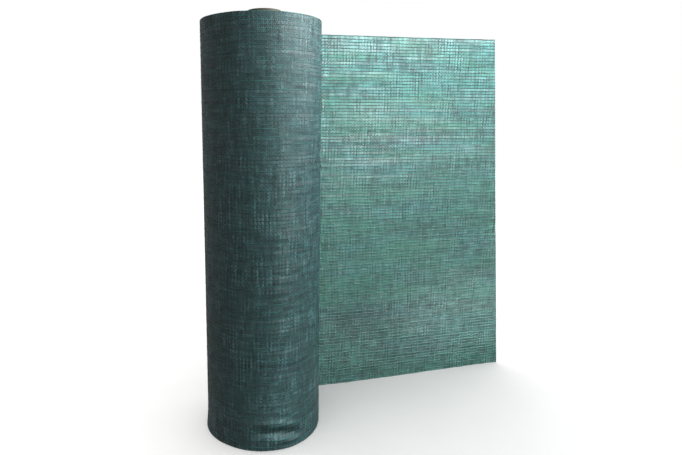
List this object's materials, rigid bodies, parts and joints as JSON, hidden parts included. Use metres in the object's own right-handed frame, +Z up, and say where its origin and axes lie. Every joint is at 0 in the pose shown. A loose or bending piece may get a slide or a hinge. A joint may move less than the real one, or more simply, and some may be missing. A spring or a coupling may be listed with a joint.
{
  "type": "roll of shade netting",
  "caption": "Roll of knitted green shade netting on a paper tube, standing on end, with a loose end of the cloth drawn off its back, for shading or screening.",
  "frame": {"origin": "on the floor, under the middle of the whole object's box", "axes": "+Z up along the roll, +X towards the loose end's cut edge, -Y towards the front"},
  "size_m": [0.879, 0.4704, 1.025],
  "materials": {
    "netting": "knitted from flat plastic tape with a soft shine",
    "paper_board": "matt brown paper board, wound from strips"
  },
  "bodies": {
    "root": {"netting_roll": "netting", "core_tube": "paper_board", "loose_end": "netting"}
  },
  "joints": []
}
